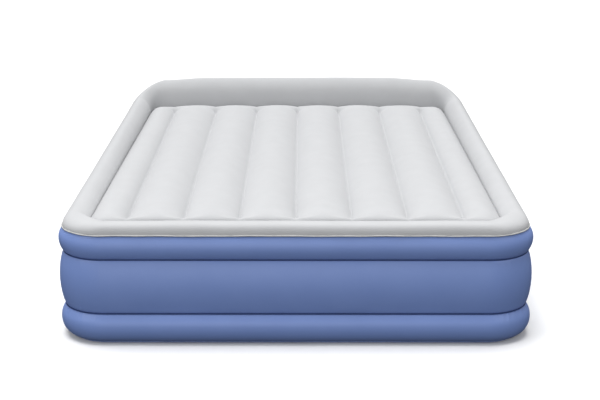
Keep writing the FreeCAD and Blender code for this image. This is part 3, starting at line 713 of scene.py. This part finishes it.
def makeDoorRidges(material):
    # a short row of ridges under the door's finger notch
    tree, sizes = newTree("doorRidges", {"Ridges": "Int", "Pitch": "Float", "Ridge size": "Vector"})
    step = addNode(tree, "ShaderNodeCombineXYZ", {}, {"Z": sizes.outputs["Pitch"]})
    row = addNode(tree, "GeometryNodeMeshLine", {}, {"Count": sizes.outputs["Ridges"], "Offset": step.outputs[0]})
    bar = addNode(tree, "GeometryNodeMeshCube", {}, {"Size": sizes.outputs["Ridge size"]})
    bars = addNode(tree, "GeometryNodeInstanceOnPoints", {}, {"Points": row.outputs[0], "Instance": bar.outputs[0]})
    high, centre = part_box("cord_door")[1], middle("cord_door")
    place = (centre.x, high.y, centre.z - doorRidges["belowMiddle"])
    stood = addNode(tree, "GeometryNodeTransform", {"Translation": place}, {0: bars.outputs[0]})
    closeTree(tree, stood.outputs[0], material)
    carrier = meshFrom("doorRidges", np.zeros((1, 3)), [])
    return growTree(carrier, tree, {"Ridges": doorRidges["count"], "Pitch": doorRidges["pitch"],
                                    "Ridge size": doorRidges["ridge"]})


view = {
    "lens": 77.6,
    "place": (0.02, -4.83, 1.5145),
    "pitch": 15.18,
    "yaw": 0.09,
}
studio = {
    "above": 0.38,                # brightness of the tent over the bed, and below it
    "below": 0.06,
    "skylight": 3.25,             # watts per square metre through the tent's roof
    "skylightSpread": 50,         # degrees
    "skylightTilt": (-8, -6),     # from behind and from the left
    "lamps": {                    # place, aim, size, watts
        "frontFill": ((-0.5, -6.0, 0.85), (0, -0.8, 0.25), (3.0, 1.3), 45),
        "leftSoftbox": ((-3.6, -3.3, 2.7), (-0.2, -0.7, 0.25), (1.6, 2.0), 43),
        "rightSoftbox": ((3.6, -3.3, 2.7), (0.2, -0.7, 0.25), (1.6, 2.0), 31),
    },
    "floorHalf": 40.0,
}


def makeView():
    camera = bpy.data.objects.new("camera", bpy.data.cameras.new("camera"))
    camera.data.lens = view["lens"]
    camera.data.sensor_width = 36
    camera.data.clip_end = 100
    camera.location = view["place"]
    camera.rotation_euler = (math.radians(90 - view["pitch"]), 0, math.radians(view["yaw"]))
    bpy.context.scene.collection.objects.link(camera)
    bpy.context.scene.camera = camera


def addLamp(name, place, aim, size, power):
    lamp = bpy.data.lights.new(name, "AREA")
    lamp.shape = "RECTANGLE"
    lamp.size, lamp.size_y = size
    lamp.energy = power
    holder = bpy.data.objects.new(name, lamp)
    holder.location = place
    holder.rotation_euler = (Vector(aim) - Vector(place)).to_track_quat("-Z", "Y").to_euler()
    bpy.context.scene.collection.objects.link(holder)


def addSkylight():
    lamp = bpy.data.lights.new("skylight", "SUN")
    lamp.energy = studio["skylight"]
    lamp.angle = math.radians(studio["skylightSpread"])
    holder = bpy.data.objects.new("skylight", lamp)
    holder.rotation_euler = [math.radians(a) for a in studio["skylightTilt"]] + [0]
    bpy.context.scene.collection.objects.link(holder)


def makeTent():
    # lit from above the horizon and dark below it, so that the undersides stay in shade; white to the camera
    world = bpy.data.worlds.new("tent")
    world.use_nodes = True
    tree = world.node_tree
    direction = addNode(tree, "ShaderNodeTexCoord").outputs["Generated"]
    height = addNode(tree, "ShaderNodeSeparateXYZ", {}, {0: direction}).outputs["Z"]
    bright = addNode(tree, "ShaderNodeMapRange",
                     {"From Min": -0.05, "From Max": 0.05, "To Min": studio["below"], "To Max": studio["above"]},
                     {"Value": height})
    seen = addNode(tree, "ShaderNodeLightPath").outputs["Is Camera Ray"]
    shown = addNode(tree, "ShaderNodeMath", {"operation": "MAXIMUM"}, {0: bright.outputs[0], 1: seen})
    tree.links.new(shown.outputs[0], tree.nodes["Background"].inputs["Strength"])
    tree.nodes["Background"].inputs["Color"].default_value = (1, 1, 1, 1)
    bpy.context.scene.world = world


def makeStudio():
    bpy.context.scene.view_settings.view_transform = "Standard"
    makeTent()
    addSkylight()
    for name, facts in studio["lamps"].items():
        addLamp(name, *facts)
    size = studio["floorHalf"]
    points = np.array([(-size, -size, 0), (size, -size, 0), (size, size, 0), (-size, size, 0)], float)
    floor = meshFrom("studioFloor", points, [[0, 1, 2, 3]])
    # matt white studio paper, kept from throwing its own light back up
    material, _, shader, _ = newMaterial("mattStudioPaper", 0.9)
    shader.inputs["Base Color"].default_value = fromHex("#FAFAFA")
    floor.data.materials.append(material)
    floor.visible_diffuse = False
    floor.visible_glossy = False


makeView()
makeStudio()
finishes = {                      # record slot to material
    "pvc_blue": bluePvc(),
    # the darker blue below is painted shade for the grooves
    "groove_shade_blue": grooveShadeBlue(),
    "pvc_inner": innerPvc(),
    "flocked_top": flockedTop(),
    "weld_bead": weldBead(),
    "pump_collar_vinyl": collarVinyl(),
    "pump_plastic": charcoalAbs(),
    "pump_plastic_light": greyAbs(),
    "rubber_black": blackRubber(),
    "motor_steel": zincSteel(),
}
finishes["screw_steel"] = finishes["motor_steel"]
print("studio and finishes made")

tubes = makeSideTubes()
print("side tubes made")
bolsterPiece = makeBolster()
print("bolster made")
sleepPiece = makeSleepingSheet()
print("sleeping sheet made")

softPieces = (                    # piece, CAD node, record slot
    (tubes["upper"], "upper_side_tube_wall", "pvc_blue"),
    (tubes["middle"], "middle_side_tube_wall", "pvc_blue"),
    (tubes["lower"], "lower_side_tube_wall", "pvc_blue"),
    (bolsterPiece, "perimeter_bolster", "flocked_top"),
    (sleepPiece, "sleeping_sheet", "flocked_top"),
)
for piece, node, slot in softPieces:
    piece.data.materials.append(finishes[slot])
    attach(piece, "bed")
    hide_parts(node)

pipingPiece = makePiping(finishes["weld_bead"])
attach(pipingPiece, "bed")
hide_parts("rim_weld_piping")
ribPiece = makeDialRibs(finishes["pump_plastic_light"])
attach(ribPiece, "dial")
ridgePiece = makeDoorRidges(finishes["pump_plastic"])
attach(ridgePiece, "door")
print("piping, ribs and ridges made")

for part in frame["record"]["subparts"]:
    slots = frame["nodes"][part["node"]].material_slots
    # the tie sheets deep in the grooves take the darker blue that paints the grooves' shade
    finish = "groove_shade_blue" if part["node"].endswith("tie_sheet") else part["material_slot"]
    for place in slots:
        place.material = finishes[finish]
print("finishes given to the frame's own parts")
